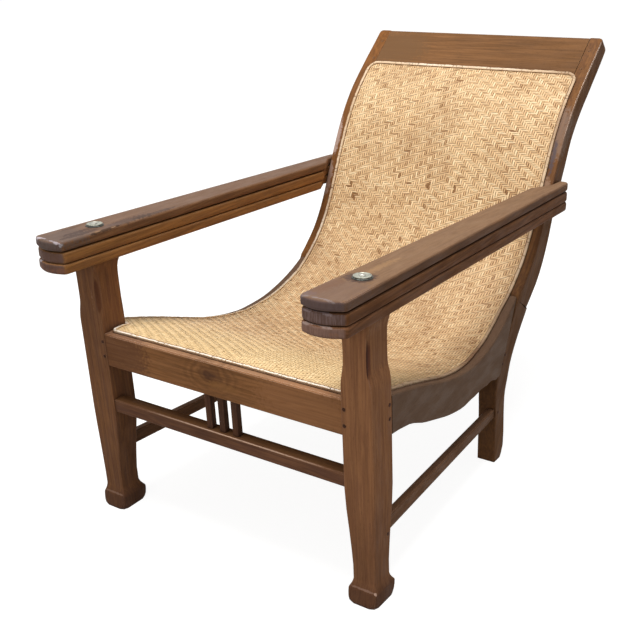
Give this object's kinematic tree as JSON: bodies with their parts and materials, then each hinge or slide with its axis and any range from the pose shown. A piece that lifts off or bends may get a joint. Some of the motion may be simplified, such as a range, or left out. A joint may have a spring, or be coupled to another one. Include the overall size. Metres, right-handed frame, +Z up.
{
  "type": "planters chair",
  "caption": "Low reclining planter's armchair: curved woven-cane seat and back on a pegged hardwood frame, with long flat arms that hold leg rests which swing out to the front.",
  "frame": {"origin": "on the floor, under the middle of the chair's whole outline", "axes": "the sitter faces -Y, +X is the sitter's left, +Z is up; metres"},
  "size_m": [0.701, 1.181, 0.85],
  "materials": {
    "leg_wood": "waxed old teak, worn paler on the arrises",
    "side_wood": "waxed old teak, darker",
    "crest_wood": "waxed old teak, polished by use",
    "arm_wood": "worn, slightly greyed teak",
    "rest_wood": "dark teak with worn end grain",
    "peg_wood": "dark hardwood pegs",
    "cane": "matt split cane in a twill weave",
    "cane_edging": "pale split cane strip",
    "pin_metal": "worn nickel-coloured metal",
    "ring_metal": "dark tarnished metal"
  },
  "bodies": {
    "chair_frame": {"front_leg_left": "leg_wood", "front_leg_right": "leg_wood", "rear_post_left": "side_wood", "rear_post_right": "side_wood", "seat_rail_left": "side_wood", "seat_rail_right": "side_wood", "side_stretcher_left": "side_wood", "side_stretcher_right": "side_wood", "front_rail": "leg_wood", "rear_rail": "side_wood", "crest_rail": "crest_wood", "front_stretcher": "leg_wood", "spindle_left": "leg_wood", "spindle_middle": "leg_wood", "spindle_right": "leg_wood", "front_rail_peg_upper_left": "peg_wood", "front_rail_peg_upper_right": "peg_wood", "front_rail_peg_lower_left": "peg_wood", "front_rail_peg_lower_right": "peg_wood", "seat_rail_peg_upper_left": "peg_wood", "seat_rail_peg_upper_right": "peg_wood", "seat_rail_peg_lower_left": "peg_wood", "seat_rail_peg_lower_right": "peg_wood", "stretcher_peg_front_left": "peg_wood", "stretcher_peg_front_right": "peg_wood", "post_joint_peg_lower_left": "peg_wood", "post_joint_peg_lower_right": "peg_wood", "post_joint_peg_upper_left": "peg_wood", "post_joint_peg_upper_right": "peg_wood", "stretcher_peg_rear_left": "peg_wood", "stretcher_peg_rear_right": "peg_wood", "crest_peg_lower_left": "peg_wood", "crest_peg_lower_right": "peg_wood", "crest_peg_upper_left": "peg_wood", "crest_peg_upper_right": "peg_wood", "cane_panel": "cane", "cane_bead": "cane_edging", "arm_top_left": "arm_wood", "arm_top_right": "arm_wood", "arm_base_left": "rest_wood", "arm_base_right": "rest_wood", "pivot_pin_left": "pin_metal", "pivot_pin_right": "pin_metal", "pivot_disc_left": "pin_metal", "pivot_disc_right": "pin_metal", "pivot_ring_left": "ring_metal", "pivot_ring_right": "ring_metal"},
    "left_leg_rest": {"leg_rest_left": "rest_wood"},
    "right_leg_rest": {"leg_rest_right": "rest_wood"}
  },
  "joints": [
    {"name": "leg_rest_left_swing", "type": "hinge", "parent": "chair_frame", "child": "left_leg_rest", "pos_m": [0.307, -0.46346, 0.58579], "axis": [0, -0.0499, -0.9988], "range_deg": [0, 180]},
    {"name": "leg_rest_right_swing", "type": "hinge", "parent": "chair_frame", "child": "right_leg_rest", "pos_m": [-0.307, -0.46346, 0.58579], "axis": [0, 0.0499, 0.9988], "range_deg": [0, 180]}
  ]
}
